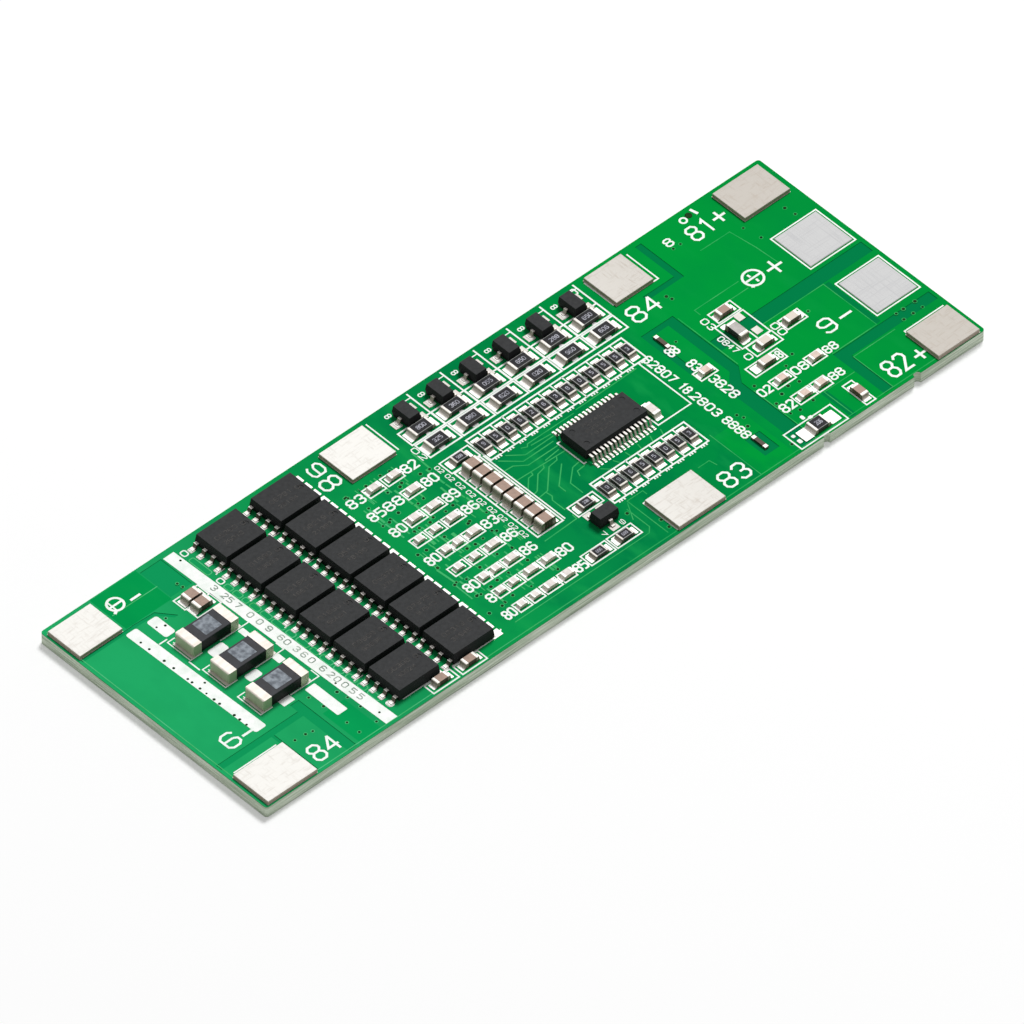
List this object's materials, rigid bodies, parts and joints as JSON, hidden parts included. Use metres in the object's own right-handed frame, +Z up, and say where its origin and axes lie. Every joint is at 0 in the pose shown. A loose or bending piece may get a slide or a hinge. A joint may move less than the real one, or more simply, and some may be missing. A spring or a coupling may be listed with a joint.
{
  "type": "battery management board",
  "caption": "Flat green circuit board that protects and balances a battery pack, with transistors, current shunts, a controller, resistors and raised nickel tabs.",
  "frame": {"origin": "centre of the underside of the board", "axes": "+X along the board from the sense end to the output end, +Y across the board towards the balancing cells, +Z up through the components"},
  "size_m": [0.11, 0.037, 0.0033],
  "materials": {
    "solder_mask": "glossy green solder mask over glass epoxy",
    "nickel_strip": "plain nickel strip with a faint rolled grain",
    "tinned_pad": "levelled solder, satin",
    "shunt_plating": "matt tin plating",
    "shunt_coating": "matt black coating with a pale printed patch",
    "tinned_lead": "bright tin",
    "solder": "bright solder",
    "moulded_epoxy": "fine-grained black moulding compound",
    "capacitor_ceramic": "matt brown ceramic",
    "white_ceramic": "pale ceramic",
    "grey_package": "pale grey top over dark sides",
    "dark_link": "dark brown glaze",
    "resistor_glaze": "black glaze with pale figures",
    "white_ink": "printed white ink",
    "hole_shadow": "dark mouth of a plated hole",
    "shunt_mark": "worn grey-blue printed patch"
  },
  "bodies": {
    "root": {"balance_resistors_1": "resistor_glaze", "balance_resistors_2": "resistor_glaze", "balance_resistors_3": "resistor_glaze", "balance_resistors_4": "resistor_glaze", "balance_resistors_5": "resistor_glaze", "balance_resistors_6": "resistor_glaze", "bare_board": "solder_mask", "cell_resistors": "resistor_glaze", "chip_ends": "solder", "controller": "moulded_epoxy", "controller_capacitor": "white_ceramic", "controller_leads": "tinned_lead", "current_shunt_1": "shunt_coating", "current_shunt_2": "shunt_coating", "current_shunt_3": "shunt_coating", "current_shunt_ends": "shunt_plating", "filter_capacitors": "capacitor_ceramic", "filter_resistors": "resistor_glaze", "gate_resistors": "white_ceramic", "output_capacitors": "capacitor_ceramic", "output_pad_minus": "tinned_pad", "output_pad_plus": "tinned_pad", "output_resistors": "white_ceramic", "power_transistor_01": "moulded_epoxy", "power_transistor_02": "moulded_epoxy", "power_transistor_03": "moulded_epoxy", "power_transistor_04": "moulded_epoxy", "power_transistor_05": "moulded_epoxy", "power_transistor_06": "moulded_epoxy", "power_transistor_07": "moulded_epoxy", "power_transistor_08": "moulded_epoxy", "power_transistor_09": "moulded_epoxy", "power_transistor_10": "moulded_epoxy", "power_transistor_11": "moulded_epoxy", "power_transistor_12": "moulded_epoxy", "power_transistor_leads": "tinned_lead", "power_transistor_paddles": "tinned_lead", "pull_down_resistors": "white_ceramic", "pull_up_resistors": "resistor_glaze", "regulator": "grey_package", "small_capacitors": "capacitor_ceramic", "small_transistor_1": "moulded_epoxy", "small_transistor_2": "moulded_epoxy", "small_transistor_3": "moulded_epoxy", "small_transistor_4": "moulded_epoxy", "small_transistor_5": "moulded_epoxy", "small_transistor_6": "moulded_epoxy", "small_transistor_7": "moulded_epoxy", "small_transistor_leads": "tinned_lead", "solder_lands": "solder", "solder_links": "dark_link", "tab_east": "nickel_strip", "tab_front": "nickel_strip", "tab_gate_end": "nickel_strip", "tab_north": "nickel_strip", "tab_rear": "nickel_strip", "tab_south": "nickel_strip", "tab_west": "nickel_strip", "temperature_sensor": "resistor_glaze"}
  },
  "joints": []
}
